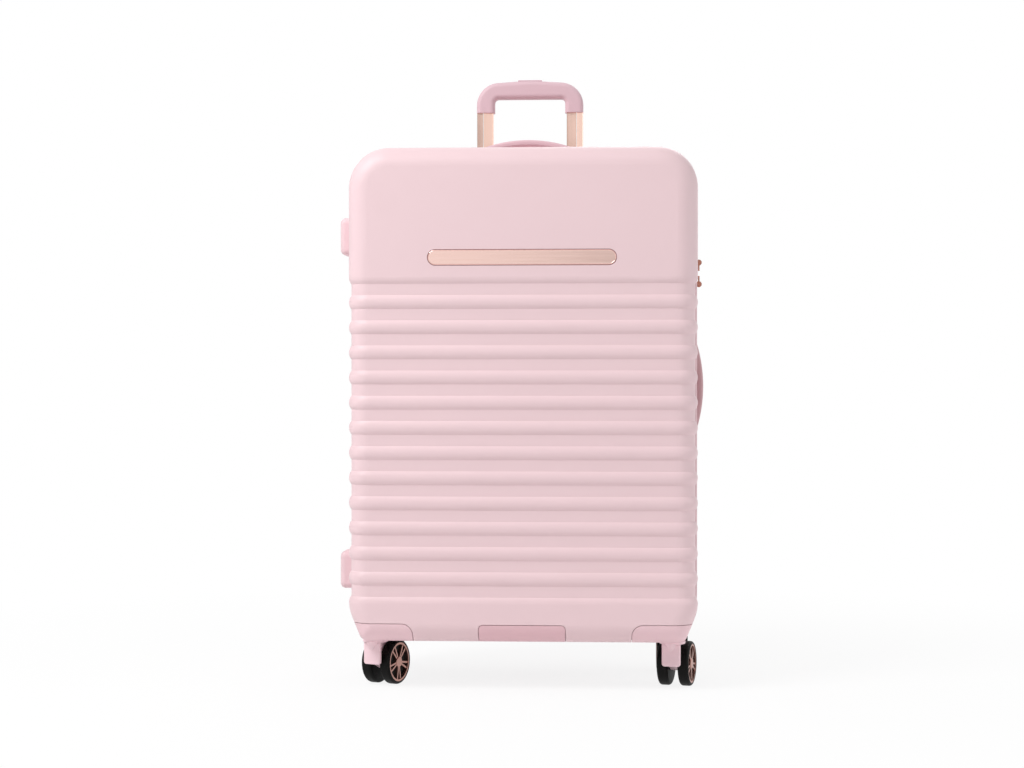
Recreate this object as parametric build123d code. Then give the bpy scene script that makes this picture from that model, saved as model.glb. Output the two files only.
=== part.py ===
"""Large hard shell suitcase on four twin-wheel swivel castors.

Two ribbed shells close face to face on a zip, with a fabric hinge down the left side and a fabric
gusset that lets the front shell move out. A two-stage pull handle slides in the rear shell, which
also carries the top and side handles, the side feet and the combination lock.

Frame: X across the width, Y from front to back, Z up. The origin is on the floor, under the middle
of the case. All sizes are in millimetres.
"""

from build123d import *
import math
import os

# Shells, measured over the rib crests
SHELL_WIDTH = 480.0
SHELL_BOTTOM = 66.0
SHELL_TOP = 745.5
FRONT_FACE_Y = -150.0
BACK_FACE_Y = 150.0
FRONT_RIM_Y = -22.0
REAR_RIM_Y = 13.0
SHELL_WALL = 3.0
TOP_CORNER_R = 56.0
EDGE_R = 28.0
KICK_HEIGHT = 44.0
KICK_IN = 18.0
KICK_R = 60.0
BOTTOM_CORNER_R = 12.0

# Ribs that run round the front and the sides
RIB_COUNT = 14
RIB_TOP_Z = 566.5
RIB_PITCH = 34.4
RIB_WIDTH = 19.0
RIB_HEIGHT = 3.5
RIB_ROOT = 1.0
PIPING_PROUD = 3.0
PIPING_WIDTH = 4.5
PIPING_ROOT = 4.4

# Clearances
FIT = 0.3
SEAM = 0.8
RUNNING = 0.05
PRESS = 0.01

# Castors
FRONT_CASTOR_X = 206.0
REAR_CASTOR_X = 210.0
CASTOR_Y = 98.0
FRONT_LEFT_YAW = 24.0
FRONT_RIGHT_YAW = 14.0
REAR_LEFT_YAW = 180.0
REAR_RIGHT_YAW = 180.0
CASTOR_TRAIL = 28.0
WHEEL_R = 31.0
WHEEL_WIDTH = 15.5
WHEEL_EDGE_R = 4.0
WEB_WIDTH = 12.0
WHEEL_SIDE_GAP = 1.0
AXLE_R = 2.5
STEM_R = 5.0
SWIVEL_DISC_R = 18.0
SWIVEL_DISC_HEIGHT = 4.0
FENDER_WIDTH = 26.0
FENDER_HEIGHT = 31.0
FENDER_THICKNESS = 5.0
FENDER_FRONT = 11.5
FENDER_EDGE_R = 2.0
STEM_CONE_R = 9.5
STEM_CONE_HEIGHT = 18.0
RIVET_R = 7.5
RIVET_HEIGHT = 2.0

# Hub caps
CAP_RING_R = 27.0
CAP_RING_WIDTH = 2.6
CAP_HUB_R = 7.5
CAP_DEPTH = 4.0
CAP_SPOKE_PAIRS = 5
CAP_SPOKE_WIDTH = 2.4
CAP_SPOKE_SPREAD = 10.0
CAP_SPOKE_DROP = 0.9
CAP_POCKET_DEPTH = 4.5

# Corner housings and the grip under the front edge
CORNER_INNER_X = 150.0
CORNER_TOP_Z = 92.0
CORNER_DEPTH = 100.0
CORNER_ROUND_R = 15.0
GRIP_PLATE_WIDTH = 118.0
GRIP_PLATE_TOP_Z = 91.0
GRIP_PLATE_DEPTH = 60.0
GRIP_PLATE_ROUND_R = 6.0
PANEL_WALL = 5.0
FLANGE = 9.0
BOSS_R = 14.0
BOSS_HEIGHT = 22.0
SCREW_R = 1.75
SCREW_HEAD_R = 3.5
SCREW_HEAD_HEIGHT = 2.2
SCREW_BITE = 2.4
SCREW_INSET = 4.5

# Name plate
PLATE_LENGTH = 257.0
PLATE_HEIGHT = 20.4
PLATE_Z = 592.6
PLATE_POCKET = 1.5
PLATE_THICKNESS = 1.9

# Zip, gusset and fabric hinge
ZIP_Y = 5.0
ZIP_GAP = 0.2
ZIP_THICKNESS = 3.0
GUSSET_INSET = 4.5
GUSSET_THICKNESS = 2.4
GUSSET_REAR_Y = -3.0
HINGE_OUT = 4.0
HINGE_R = 5.0
HINGE_BOTTOM_Z = 150.0
HINGE_TOP_Z = 660.0
LINING_THICKNESS = 1.2

# Zip sliders and pullers
SLIDER_LENGTH = 14.0
SLIDER_WIDTH = 12.0
SLIDER_THICKNESS = 5.5
BAIL_R = 4.3
BAIL_HOLE_R = 1.8
BAIL_THICKNESS = 3.0
PULLER_WIDTH = 7.0
PULLER_THICKNESS = 2.0
PULLER_CHEEK = 1.4
LOCKED_PULLER_LENGTH = 12.0
FREE_PULLER_LENGTH = 36.0
UPPER_SLIDER_Z = 594.0
LOWER_SLIDER_Z = 563.0
GUSSET_SLIDER_Z = 404.0
GUSSET_SLIDER_Y = -12.0

# Combination lock on the right side
LOCK_Z = 578.0
LOCK_Y = 32.0
LOCK_HEIGHT = 50.0
LOCK_WIDTH = 26.0
LOCK_DEPTH = 17.0
LOCK_PROUD = 1.5
DIAL_R = 8.0
DIAL_THICKNESS = 5.0
DIAL_PITCH = 6.0
DIAL_COUNT = 3
DIAL_SINK = 4.0
DIAL_NOTCHES = 10
DIAL_NOTCH_R = 0.8
DIAL_PIN_R = 1.5
LOCK_BUTTON_WIDTH = 12.0
LOCK_BUTTON_HEIGHT = 7.0
LOCK_BUTTON_DEPTH = 5.0
LOCK_BUTTON_PROUD = 1.4
LOCK_BUTTON_TRAVEL = 2.0

# Carry handles
HANDLE_Y = 48.0
SIDE_HANDLE_Z = 417.0
HANDLE_WIDTH = 26.0
HANDLE_THICKNESS = 9.0
HANDLE_EDGE_R = 3.5
TOP_HANDLE_REACH = 95.0
SIDE_HANDLE_REACH = 64.0
TOP_HANDLE_RISE = 30.0
SIDE_HANDLE_RISE = 14.5
HANDLE_LIFT = 12.0
TAB_LENGTH = 10.0
TAB_WIDTH = 20.0
TAB_DROP = 20.0
TAB_FOOT_WIDTH = 34.0
TAB_FOOT_HEIGHT = 3.0
SOCKET_LENGTH = 58.0
SOCKET_WIDTH = 44.0
SOCKET_DEPTH = 26.0
SOCKET_WALL = 2.0
SOCKET_LIP = 3.0
SOCKET_LIP_HEIGHT = 1.6

# Side feet
FOOT_HEIGHT = 52.0
FOOT_WIDTH = 46.0
FOOT_PROUD = 18.0
FOOT_ROUND_R = 8.0
FOOT_Y = -60.0
UPPER_FOOT_Z = 627.0
LOWER_FOOT_Z = 159.5

# Pull handle
TROLLEY_Y = 114.0
TUBE_X = 67.0
TUBE_WIDTH = 24.4
TUBE_DEPTH = 15.2
TUBE_RIDGE_OUT = 2.5
TUBE_SHOULDER = 3.6
TUBE_ROUND_R = 1.5
TUBE_WALL = 1.2
TUBE_GAP = 0.3
OUTER_TUBE_BOTTOM_Z = 76.0
MIDDLE_TUBE_LENGTH = 300.0
INNER_TUBE_LENGTH = 320.0
BEZEL_FLOOR_Z = 721.0
BEZEL_FLOOR = 5.0
BEZEL_LENGTH = 184.0
BEZEL_WIDTH = 36.0
BEZEL_WALL = 3.5
BEZEL_LIP = 4.0
BEZEL_LIP_HEIGHT = 1.6
BRACKET_LENGTH = 176.0
BRACKET_WIDTH = 30.0
BRACKET_HEIGHT = 18.0

# Grip at the top of the pull handle
GRIP_BOTTOM_Z = 825.0
GRIP_TOP_Z = 872.0
GRIP_THICKNESS = 25.0
GRIP_DEPTH = 22.0
GRIP_EDGE_R = 7.0
GRIP_CORNER_R = 34.0
GRIP_CROWN = 4.0
GRIP_CROWN_R = 300.0
GRIP_WINDOW_X = 52.5
GRIP_WINDOW_Z = 845.5
GRIP_WINDOW_R = 6.0
GRIP_SOCKET = 15.0
BUTTON_LENGTH = 36.0
BUTTON_WIDTH = 11.0
BUTTON_HEIGHT = 7.0
BUTTON_PROUD = 1.8
BUTTON_TRAVEL = 4.0
BUTTON_ROUND_R = 2.0

# Worked out from the sizes above
HALF_WIDTH = SHELL_WIDTH / 2
VALLEY_X = HALF_WIDTH - RIB_HEIGHT
RIB_BOTTOM_Z = RIB_TOP_Z - (RIB_COUNT - 1) * RIB_PITCH
HINGE_X = -(HALF_WIDTH + HINGE_OUT)
SWIVEL_Z = SHELL_BOTTOM - FIT
WHEEL_X = WEB_WIDTH / 2 + WHEEL_SIDE_GAP
PANEL_FLOOR_Z = SHELL_BOTTOM + PANEL_WALL
FAR = 2000.0


def box_between(low, high):
    """Box from its lowest corner to its highest corner."""
    size = [b - a for a, b in zip(low, high)]
    middle = [(a + b) / 2 for a, b in zip(low, high)]
    return Pos(*middle) * Box(*size)


def outline(inset):
    """Front outline of the case at the rib crests, drawn in by inset."""
    bottom_x = HALF_WIDTH - KICK_IN
    kick_z = SHELL_BOTTOM + KICK_HEIGHT
    points = [
        (HALF_WIDTH, kick_z),
        (HALF_WIDTH, SHELL_TOP),
        (-HALF_WIDTH, SHELL_TOP),
        (-HALF_WIDTH, kick_z),
        (-bottom_x, SHELL_BOTTOM),
        (bottom_x, SHELL_BOTTOM),
    ]
    with BuildSketch(Plane.XZ) as drawing:
        with BuildLine():
            Polyline(*points, close=True)
        make_face()
        for height, radius in (
            (SHELL_TOP, TOP_CORNER_R),
            (kick_z, KICK_R),
            (SHELL_BOTTOM, BOTTOM_CORNER_R),
        ):
            corners = [v for v in drawing.vertices() if abs(v.Y - height) < PRESS]
            fillet(corners, radius)
        if inset:
            offset(amount=-inset, kind=Kind.INTERSECTION, mode=Mode.REPLACE)
    return drawing.sketch


def tub(inset, rim_y, face_y):
    """Solid that fills the outline from the rim to the face, with the edge of the face rounded."""
    outward = 1 if face_y > rim_y else -1
    depth = abs(face_y - rim_y) - inset
    solid = extrude(Pos(0, rim_y, 0) * outline(inset), amount=depth, dir=(0, outward, 0))
    face = solid.faces().sort_by(Axis.Y)[-1 if outward > 0 else 0]
    return fillet(face.edges(), EDGE_R - inset)


def band(inset, thickness, low_y, high_y):
    """Ring that follows the outline, from low_y to high_y."""
    ring = outline(inset) - outline(inset + thickness)
    return extrude(Pos(0, low_y, 0) * ring, amount=high_y - low_y, dir=(0, 1, 0))


def stepped_tub(inset, rim_y, face_y):
    """Tub at valley depth, with the plain panels above and below the ribs at crest depth."""
    crest = tub(inset, rim_y, face_y)
    valley = tub(inset + RIB_HEIGHT, rim_y, face_y)
    above = box_between((-FAR, -FAR, RIB_TOP_Z + inset), (FAR, FAR, FAR))
    below = box_between((-FAR, -FAR, -FAR), (FAR, FAR, RIB_BOTTOM_Z - inset))
    return valley + (crest & above) + (crest & below)


def rib(rim_y, face_y):
    """One rib at height 0: a round-backed bead down one side, across the face and up the other side."""
    outward = 1 if face_y > rim_y else -1
    valley_y = face_y - outward * RIB_HEIGHT
    path = FilletPolyline(
        (-VALLEY_X, rim_y, 0),
        (-VALLEY_X, valley_y, 0),
        (VALLEY_X, valley_y, 0),
        (VALLEY_X, rim_y, 0),
        radius=EDGE_R - RIB_HEIGHT,
    )
    section_plane = Plane(origin=(-VALLEY_X, rim_y, 0), x_dir=(-1, 0, 0), z_dir=(0, outward, 0))
    half = RIB_WIDTH / 2
    with BuildSketch(section_plane) as section:
        with BuildLine():
            ThreePointArc((0, -half), (RIB_HEIGHT, 0), (0, half))
            Polyline((0, half), (-RIB_ROOT, half), (-RIB_ROOT, -half), (0, -half))
        make_face()
    return sweep(section.sketch, path=path)


def ribbed_shell(rim_y, face_y):
    """Hollow shell with its ribs, before anything is cut into it."""
    bead = rib(rim_y, face_y)
    beads = [Pos(0, 0, RIB_TOP_Z - i * RIB_PITCH) * bead for i in range(RIB_COUNT)]
    outside = stepped_tub(0, rim_y, face_y).fuse(*beads)
    return outside - stepped_tub(SHELL_WALL, rim_y, face_y)


def corner_region(side, end, grow):
    """Block round one bottom corner of the case, with its inner top edges rounded."""
    inner_x = CORNER_INNER_X - grow
    face_y = FRONT_FACE_Y if end < 0 else BACK_FACE_Y
    inner_y = face_y - end * (CORNER_DEPTH + grow)
    low = (min(side * inner_x, side * FAR), min(inner_y, end * FAR), -FAR)
    high = (max(side * inner_x, side * FAR), max(inner_y, end * FAR), CORNER_TOP_Z + grow)
    block = box_between(low, high)
    top = block.faces().sort_by(Axis.Z)[-1]
    edges = [
        e
        for e in top.edges()
        if abs(e.center().X - side * inner_x) < PRESS or abs(e.center().Y - inner_y) < PRESS
    ]
    return fillet(edges, CORNER_ROUND_R + grow)


def grip_plate_region(grow):
    """Block round the middle of the front bottom edge, with its top corners rounded."""
    half = GRIP_PLATE_WIDTH / 2 + grow
    high_y = FRONT_FACE_Y + GRIP_PLATE_DEPTH + grow
    block = box_between((-half, -FAR, -FAR), (half, high_y, GRIP_PLATE_TOP_Z + grow))
    top = block.faces().sort_by(Axis.Z)[-1]
    return fillet(top.edges().filter_by(Axis.Y), GRIP_PLATE_ROUND_R + grow)


def flush_panel(region, wide_region, rim_y, face_y):
    """Panel that closes an opening in a shell: a flush skin, and a flange behind the shell's wall."""
    crest = tub(0, rim_y, face_y)
    core = tub(PANEL_WALL, rim_y, face_y)
    behind = tub(SHELL_WALL + FIT, rim_y, face_y)
    return ((crest - core) & region) + ((behind - core) & wide_region)


def corner_screw_places(side, end):
    """Where the two screws of a corner housing stand on the bottom of the shell."""
    x = side * (CORNER_INNER_X - SCREW_INSET)
    return [(x, end * (CASTOR_Y + step)) for step in (-STEM_R * 3, STEM_R * 3)]


def grip_plate_screw_places():
    """Where the two screws of the grip plate stand on the bottom of the front shell."""
    x = GRIP_PLATE_WIDTH / 2 + SCREW_INSET
    y = FRONT_FACE_Y + EDGE_R + SCREW_INSET
    return [(-x, y), (x, y)]


def bracket_screw_places():
    """Where the two screws of the pull handle's bracket stand, between its tubes."""
    return [(-TUBE_X / 2, TROLLEY_Y), (TUBE_X / 2, TROLLEY_Y)]


def screw(place, seat_z):
    """Pan-head screw whose head sits at seat_z and whose shank bites into the shell below."""
    tip_z = SHELL_BOTTOM + SHELL_WALL - SCREW_BITE
    shank = Pos(*place, (tip_z + seat_z) / 2) * Cylinder(SCREW_R, seat_z - tip_z)
    head = Pos(*place, seat_z + SCREW_HEAD_HEIGHT / 2) * Cylinder(SCREW_HEAD_R, SCREW_HEAD_HEIGHT)
    head = fillet(head.edges().group_by(Axis.Z)[-1], SCREW_HEAD_HEIGHT / 2)
    return shank + head


def screw_hole(place):
    """Hole for a screw's shank, from its tip upwards."""
    tip_z = SHELL_BOTTOM + SHELL_WALL - SCREW_BITE
    return Pos(*place, tip_z + FLANGE) * Cylinder(SCREW_R + PRESS, 2 * FLANGE)


def stem_place(side, end):
    """Where a castor's swivel axis stands on the floor."""
    return side * (FRONT_CASTOR_X if end < 0 else REAR_CASTOR_X), end * CASTOR_Y


def corner_housing(side, end):
    """Corner housing: a flush corner skin with a bored boss for the castor's stem."""
    rim_y, face_y = (FRONT_RIM_Y, FRONT_FACE_Y) if end < 0 else (REAR_RIM_Y, BACK_FACE_Y)
    region = corner_region(side, end, 0)
    wide = corner_region(side, end, FLANGE)
    panel = flush_panel(region, wide, rim_y, face_y)
    stem = Pos(*stem_place(side, end), SHELL_BOTTOM + BOSS_HEIGHT / 2)
    boss = stem * Cylinder(BOSS_R, BOSS_HEIGHT)
    bore = stem * Cylinder(STEM_R + RUNNING, 2 * BOSS_HEIGHT)
    housing = panel + (boss & tub(0, rim_y, face_y)) - bore
    for place in corner_screw_places(side, end):
        housing -= screw_hole(place)
    return housing


def grip_plate():
    """Flush plate in the front bottom edge, the second hand hold for lifting the case flat."""
    region = grip_plate_region(0)
    plate = flush_panel(region, grip_plate_region(FLANGE), FRONT_RIM_Y, FRONT_FACE_Y)
    for place in grip_plate_screw_places():
        plate -= screw_hole(place)
    return plate


def name_plate_shape(length, height, thickness, back_y):
    """Pill-shaped plate on the front face, from back_y towards the front."""
    drawing = Pos(0, back_y, PLATE_Z) * (Plane.XZ * SlotOverall(length, height))
    return extrude(drawing, amount=thickness, dir=(0, -1, 0))


def name_plate():
    """Bare metal plate with a rounded rim, seated in its pocket."""
    plate = name_plate_shape(PLATE_LENGTH, PLATE_HEIGHT, PLATE_THICKNESS, FRONT_FACE_Y + PLATE_POCKET)
    front = plate.faces().sort_by(Axis.Y)[0]
    return fillet(front.edges(), PLATE_THICKNESS - PLATE_POCKET)


def piping():
    """Rounded bead round the front shell's rim, beside the zip."""
    low = Pos(0, FRONT_RIM_Y - PIPING_WIDTH, 0)
    slab = extrude(low * outline(-PIPING_PROUD), amount=PIPING_WIDTH, dir=(0, 1, 0))
    levels = slab.edges().group_by(Axis.Y)
    slab = fillet(levels[0] + levels[-1], 0.4 * PIPING_WIDTH)
    return slab - extrude(low * outline(PIPING_ROOT), amount=PIPING_WIDTH, dir=(0, 1, 0))


def front_shell():
    """Front shell with its openings for the housings, the grip plate, the name plate and the lower foot."""
    shell = ribbed_shell(FRONT_RIM_Y, FRONT_FACE_Y) + piping()
    for side in (-1, 1):
        shell -= corner_region(side, -1, SEAM)
        for place in corner_screw_places(side, -1):
            shell -= screw_hole(place)
    shell -= grip_plate_region(SEAM)
    for place in grip_plate_screw_places():
        shell -= screw_hole(place)
    shell -= foot_seat(LOWER_FOOT_Z)
    return shell - name_plate_shape(
        PLATE_LENGTH + 2 * FIT, PLATE_HEIGHT + 2 * FIT, 2 * PLATE_POCKET, FRONT_FACE_Y + PLATE_POCKET
    )


def top_handle_place():
    """Frame of the top handle: along X, outwards up."""
    return Plane(origin=(0, HANDLE_Y, SHELL_TOP), x_dir=(1, 0, 0), z_dir=(0, 0, 1))


def side_handle_place():
    """Frame of the side handle: along Z, outwards to the right."""
    return Plane(origin=(HALF_WIDTH, HANDLE_Y, SIDE_HANDLE_Z), x_dir=(0, 0, 1), z_dir=(1, 0, 0))


def carry_handle(rise, reach):
    """Bowed handle with a tab at each end, in its own frame: along X, outwards along Z."""
    middle_z = rise - HANDLE_THICKNESS / 2
    radius = (reach**2 + middle_z**2) / (2 * middle_z)
    path = ThreePointArc((-reach, 0, 0), (0, 0, middle_z), (reach, 0, 0))
    lean = math.degrees(math.asin(reach / radius))
    start = Plane(origin=path @ 0, x_dir=(0, 1, 0), z_dir=path % 0)
    section = start * RectangleRounded(HANDLE_WIDTH, HANDLE_THICKNESS, HANDLE_EDGE_R)
    handle = sweep(section, path=path)
    for side in (-1, 1):
        tab = Pos(side * reach, 0, -TAB_DROP / 2) * Box(TAB_LENGTH, TAB_WIDTH, TAB_DROP)
        foot_z = TAB_FOOT_HEIGHT / 2 - TAB_DROP
        foot = Pos(side * reach, 0, foot_z) * Box(TAB_LENGTH, TAB_FOOT_WIDTH, TAB_FOOT_HEIGHT)
        shoulder = Pos(side * reach, 0, 0) * Rot(0, side * lean, 0)
        knuckle = shoulder * Box(TAB_LENGTH, TAB_WIDTH, HANDLE_THICKNESS)
        handle = handle + tab + foot + knuckle
    return handle


def handle_socket(side, seat, reach):
    """Socket for one end of a carry handle: a box let into the shell, with a slotted, lipped cover.

    seat is how far the shell's wall lies below the handle's frame there, and reach is how far along it is."""
    slot_length = SOCKET_LENGTH - 4 * SOCKET_WALL
    slot_width = HANDLE_WIDTH + 4 * FIT
    room_length = SOCKET_LENGTH - 2 * SOCKET_WALL
    room_width = SOCKET_WIDTH - 2 * SOCKET_WALL
    block = Pos(0, 0, -SOCKET_DEPTH / 2) * Box(SOCKET_LENGTH, SOCKET_WIDTH, SOCKET_DEPTH)
    lip_height = SOCKET_LIP_HEIGHT + seat
    lip = Pos(0, 0, SOCKET_LIP_HEIGHT - lip_height / 2) * Box(
        SOCKET_LENGTH + 2 * SOCKET_LIP, SOCKET_WIDTH + 2 * SOCKET_LIP, lip_height
    )
    lip = fillet(lip.edges().filter_by(Axis.Z), SOCKET_LIP)
    lip = fillet(lip.edges().group_by(Axis.Z)[-1], SOCKET_LIP_HEIGHT / 2)
    room_height = SOCKET_DEPTH - 2 * SOCKET_WALL
    room = Pos(0, 0, -SOCKET_DEPTH / 2) * Box(room_length, room_width, room_height)
    slot = Box(slot_length, slot_width, 2 * SOCKET_DEPTH - 2 * SOCKET_WALL)
    return Pos(side * reach, 0, 0) * (block + lip - room - slot)


def socket_opening(side, seat, reach):
    """What a handle's socket takes out of the shell: a window, and a flat seat for its lip."""
    window = Box(SOCKET_LENGTH + 2 * FIT, SOCKET_WIDTH + 2 * FIT, 2 * SOCKET_DEPTH)
    seat_height = RIB_HEIGHT + SOCKET_LIP_HEIGHT
    lip_length = SOCKET_LENGTH + 2 * (SOCKET_LIP + FIT)
    lip_width = SOCKET_WIDTH + 2 * (SOCKET_LIP + FIT)
    flat = Pos(0, 0, seat_height / 2 - seat) * Box(lip_length, lip_width, seat_height)
    return Pos(side * reach, 0, 0) * (window + flat)


def handle_seats():
    """Each carry handle's frame, how far the shell's wall lies below it, and where its ends are."""
    return [
        (top_handle_place(), 0.0, TOP_HANDLE_REACH),
        (side_handle_place(), RIB_HEIGHT, SIDE_HANDLE_REACH),
    ]


def side_foot(z, base_x):
    """Block foot on the left side, from the shell's wall out to the plane that the case lies on."""
    top_x = -(HALF_WIDTH + FOOT_PROUD)
    low = (top_x, FOOT_Y - FOOT_WIDTH / 2, z - FOOT_HEIGHT / 2)
    foot = box_between(low, (-base_x, FOOT_Y + FOOT_WIDTH / 2, z + FOOT_HEIGHT / 2))
    foot = fillet(foot.edges().filter_by(Axis.X), FOOT_ROUND_R)
    return fillet(foot.faces().sort_by(Axis.X)[0].edges(), FOOT_ROUND_R - 1)


def foot_seat(z):
    """Flat seat that interrupts the ribs under a side foot."""
    reach = FOOT_HEIGHT / 2 + FIT
    half = FOOT_WIDTH / 2 + FIT
    return box_between((-FAR, FOOT_Y - half, z - reach), (-VALLEY_X, FOOT_Y + half, z + reach))


def lock_window(grow):
    """Block that the lock's case fills, on the right side of the rear shell."""
    half_y = LOCK_WIDTH / 2 + grow
    half_z = LOCK_HEIGHT / 2 + grow
    low = (HALF_WIDTH + LOCK_PROUD - LOCK_DEPTH - grow, LOCK_Y - half_y, LOCK_Z - half_z)
    return box_between(low, (HALF_WIDTH + LOCK_PROUD, LOCK_Y + half_y, LOCK_Z + half_z))


def dial_places():
    """Centres of the lock's dials, which stand in a row up the case."""
    first = LOCK_Z - LOCK_HEIGHT / 2 + 2 * DIAL_PITCH
    return [(HALF_WIDTH - DIAL_SINK, LOCK_Y, first + i * DIAL_PITCH) for i in range(DIAL_COUNT)]


def lock_button_place():
    """Centre of the lock's button at its face, above the dials."""
    return (HALF_WIDTH + LOCK_PROUD, LOCK_Y, dial_places()[-1][2] + 2.4 * DIAL_PITCH)


def dial():
    """Notched dial about Z, bored for the lock's pin."""
    ring = Cylinder(DIAL_R, DIAL_THICKNESS) - Cylinder(DIAL_PIN_R + RUNNING, 2 * DIAL_THICKNESS)
    for i in range(DIAL_NOTCHES):
        turn = Rot(0, 0, 360 * (i + 0.5) / DIAL_NOTCHES)
        ring -= turn * Pos(DIAL_R, 0, 0) * Cylinder(DIAL_NOTCH_R, 2 * DIAL_THICKNESS)
    return ring


def lock_case():
    """Lock case with a bay for the dials, the pin they turn on, and a pocket for the button."""
    case = lock_window(0)
    case = fillet(case.faces().sort_by(Axis.X)[-1].edges(), LOCK_PROUD / 2)
    first, last = dial_places()[0], dial_places()[-1]
    half_z = DIAL_PITCH / 2
    bay = box_between(
        (first[0] - DIAL_R - FIT, LOCK_Y - DIAL_R - FIT, first[2] - half_z),
        (FAR, LOCK_Y + DIAL_R + FIT, last[2] + half_z),
    )
    pin_length = last[2] - first[2] + 2 * half_z
    pin = Pos(first[0], LOCK_Y, (first[2] + last[2]) / 2) * Cylinder(DIAL_PIN_R, pin_length)
    x, y, z = lock_button_place()
    pocket = Pos(x, y, z) * Box(
        2 * (LOCK_BUTTON_DEPTH + LOCK_BUTTON_TRAVEL - LOCK_BUTTON_PROUD),
        LOCK_BUTTON_WIDTH + 2 * FIT,
        LOCK_BUTTON_HEIGHT + 2 * FIT,
    )
    return (case - bay - pocket) + pin


def lock_button():
    """Release button that stands a little proud of the lock's case."""
    x, y, z = lock_button_place()
    middle_x = x + LOCK_BUTTON_PROUD - LOCK_BUTTON_DEPTH / 2
    button = Pos(middle_x, y, z) * Box(LOCK_BUTTON_DEPTH, LOCK_BUTTON_WIDTH, LOCK_BUTTON_HEIGHT)
    return fillet(button.faces().sort_by(Axis.X)[-1].edges(), LOCK_BUTTON_PROUD / 2)


def bezel_block(grow, low_z, high_z):
    """Upright block round the pull handle's cup."""
    block = Pos(0, TROLLEY_Y, (low_z + high_z) / 2) * Box(
        BEZEL_LENGTH + 2 * grow, BEZEL_WIDTH + 2 * grow, high_z - low_z
    )
    return fillet(block.edges().filter_by(Axis.Z), BEZEL_WALL + BEZEL_LIP + grow)


def rear_shell():
    """Rear shell with its openings for the housings, the handles, the lock and the pull handle's cup."""
    shell = ribbed_shell(REAR_RIM_Y, BACK_FACE_Y)
    for side in (-1, 1):
        shell -= corner_region(side, 1, SEAM)
        for place in corner_screw_places(side, 1):
            shell -= screw_hole(place)
        for place, seat, reach in handle_seats():
            shell -= place * socket_opening(side, seat, reach)
    for place in bracket_screw_places():
        shell -= screw_hole(place)
    shell -= lock_window(FIT)
    return shell - bezel_block(FIT, BEZEL_FLOOR_Z, SHELL_TOP + BEZEL_LIP)


def lining(rim_y, face_y, wells):
    """Cloth lining of one shell: a thin tub that steps round the wells."""
    outside = tub(SHELL_WALL + RIB_HEIGHT + FIT, rim_y, face_y)
    inside = tub(SHELL_WALL + RIB_HEIGHT + FIT + LINING_THICKNESS, rim_y, face_y)
    for well in wells:
        outside -= well(FIT)
        inside -= well(FIT + LINING_THICKNESS)
    return outside - inside


def corner_well(side, end):
    """Room that a corner housing, its castor's stem and its screws take inside the case."""

    def well(grow):
        inner_x = CORNER_INNER_X - FLANGE - grow
        face_y = FRONT_FACE_Y if end < 0 else BACK_FACE_Y
        inner_y = face_y - end * (CORNER_DEPTH + FLANGE + grow)
        low = (min(side * inner_x, side * FAR), min(inner_y, end * FAR), -FAR)
        top_z = CORNER_TOP_Z + FLANGE + grow
        return box_between(low, (max(side * inner_x, side * FAR), max(inner_y, end * FAR), top_z))

    return well


def box_well(low, high):
    """Room that something else takes inside the case."""

    def well(grow):
        return box_between([v - grow for v in low], [v + grow for v in high])

    return well


def front_lining():
    """Lining of the front shell."""
    half = GRIP_PLATE_WIDTH / 2 + FLANGE
    plate_y = FRONT_FACE_Y + GRIP_PLATE_DEPTH + FLANGE
    plate = box_well((-half, -FAR, -FAR), (half, plate_y, GRIP_PLATE_TOP_Z + FLANGE))
    return lining(FRONT_RIM_Y, FRONT_FACE_Y, [corner_well(-1, -1), corner_well(1, -1), plate])


def rear_lining():
    """Lining of the rear shell, whose back panel hides the pull handle's tubes."""
    tube_front = TROLLEY_Y - TUBE_DEPTH / 2 - 2 * (TUBE_WALL + TUBE_GAP)
    panel_y = min(tube_front, TROLLEY_Y - BRACKET_WIDTH / 2) - FIT
    top_reach = TOP_HANDLE_REACH + SOCKET_LENGTH / 2
    side_reach = SIDE_HANDLE_REACH + SOCKET_LENGTH / 2
    near, far = HANDLE_Y - SOCKET_WIDTH / 2, HANDLE_Y + SOCKET_WIDTH / 2
    top = box_well((-top_reach, near, SHELL_TOP - SOCKET_DEPTH), (top_reach, far, FAR))
    side = box_well(
        (HALF_WIDTH - SOCKET_DEPTH, near, SIDE_HANDLE_Z - side_reach),
        (FAR, far, SIDE_HANDLE_Z + side_reach),
    )
    lock = box_well(
        (HALF_WIDTH + LOCK_PROUD - LOCK_DEPTH, -FAR, LOCK_Z - LOCK_HEIGHT / 2),
        (FAR, LOCK_Y + LOCK_WIDTH / 2, LOCK_Z + LOCK_HEIGHT / 2),
    )
    cup = box_well((-FAR, TROLLEY_Y - BEZEL_WIDTH / 2, BEZEL_FLOOR_Z), (FAR, FAR, FAR))
    wells = [corner_well(-1, 1), corner_well(1, 1), top, side, lock, cup]
    return lining(REAR_RIM_Y, panel_y, wells)


def tube_outline(side, grow):
    """Section of a pull-handle tube: flat at the back, with a blunt ridge down its front."""
    half = TUBE_WIDTH / 2
    depth = TUBE_DEPTH / 2
    ridge_x = side * TUBE_RIDGE_OUT
    points = [
        (-half, depth),
        (half, depth),
        (half, TUBE_SHOULDER - depth),
        (ridge_x, -depth),
        (-half, TUBE_SHOULDER - depth),
    ]
    with BuildSketch() as drawing:
        with BuildLine():
            Polyline(*points, close=True)
        make_face()
        fillet(drawing.vertices(), TUBE_ROUND_R)
        if grow:
            offset(amount=grow, kind=Kind.INTERSECTION, mode=Mode.REPLACE)
    return Pos(side * TUBE_X, TROLLEY_Y, 0) * drawing.sketch


def tube(side, grow, low_z, high_z):
    """Hollow tube of the pull handle, grown from the innermost section."""
    section = tube_outline(side, grow) - tube_outline(side, grow - TUBE_WALL)
    return extrude(Pos(0, 0, low_z) * section, amount=high_z - low_z)


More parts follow.
